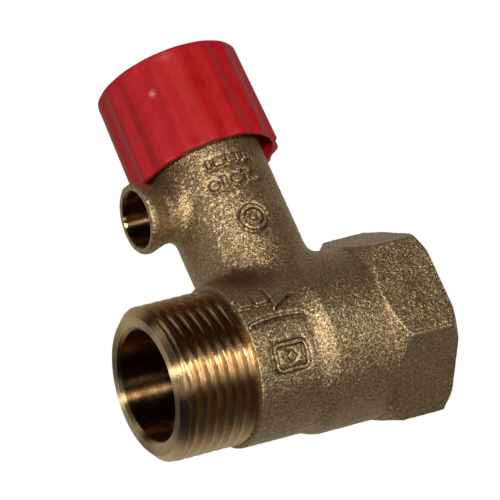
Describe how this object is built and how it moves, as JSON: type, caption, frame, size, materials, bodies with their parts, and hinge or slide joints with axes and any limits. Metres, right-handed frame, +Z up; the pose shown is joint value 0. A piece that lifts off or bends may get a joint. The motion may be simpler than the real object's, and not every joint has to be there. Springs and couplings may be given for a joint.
{
  "type": "pressure relief valve",
  "caption": "Cast brass pressure relief valve with male and female pipe ends, side discharge spout, internal check valve and a red twist cap for testing.",
  "frame": {"origin": "on the axis of the main run, where the wall of the female thread begins, 1.6 mm inside the female end face", "axes": "+X along the main run out of the female end, +Z up the branch to the cap, +Y to the back; the discharge spout and the male end point to -X"},
  "size_m": [0.051, 0.03, 0.071],
  "materials": {
    "cast_brass": "sand-cast, fine grain, unplated",
    "machined_brass": "turned, bright",
    "steel": "bright, stainless",
    "spring_steel": "drawn stainless wire",
    "rubber": "smooth moulded rubber",
    "gasket": "pressed sealing sheet",
    "black_plastic": "moulded",
    "white_plastic": "moulded",
    "red_plastic": "moulded, semi-gloss red"
  },
  "bodies": {
    "valve": {"valve_body": "cast_brass", "check_seat": "black_plastic", "check_oring": "rubber", "check_cage": "white_plastic", "check_spring": "spring_steel", "check_retainer": "steel", "relief_spring": "spring_steel", "spring_washer": "steel", "bonnet": "machined_brass", "bonnet_gasket": "gasket", "stem_oring": "rubber", "cam_ring": "white_plastic"},
    "lift_washer": {"cap_washer": "steel"},
    "test_cap": {"cap": "red_plastic", "cap_plug": "red_plastic"},
    "spindle": {"relief_stem": "machined_brass", "cap_nut": "machined_brass", "disc_holder": "machined_brass", "relief_disc": "rubber", "disc_washer": "steel", "disc_screw": "steel"},
    "poppet": {"check_poppet": "black_plastic", "check_seal": "rubber"}
  },
  "joints": [
    {"name": "cap_rise", "type": "slide", "parent": "valve", "child": "lift_washer", "axis": [0, 0, 1], "range_m": [0, 0.00161], "deforming": ["relief_spring"]},
    {"name": "cap_turn", "type": "hinge", "parent": "lift_washer", "child": "test_cap", "pos_m": [-0.0224, 0, 0.0455], "axis": [0, 0, 1], "range_deg": [0, 90]},
    {"name": "relief_lift", "type": "slide", "parent": "lift_washer", "child": "spindle", "axis": [0, 0, 1], "range_m": [0, 0.0016], "deforming": ["relief_spring"]},
    {"name": "check_lift", "type": "slide", "parent": "valve", "child": "poppet", "axis": [1, 0, 0], "range_m": [0, 0.004], "deforming": ["check_spring"]}
  ],
  "couplings": [
    {"joint": "cap_rise", "follows": "cap_turn", "m_per_rad": 0.0010186}
  ]
}
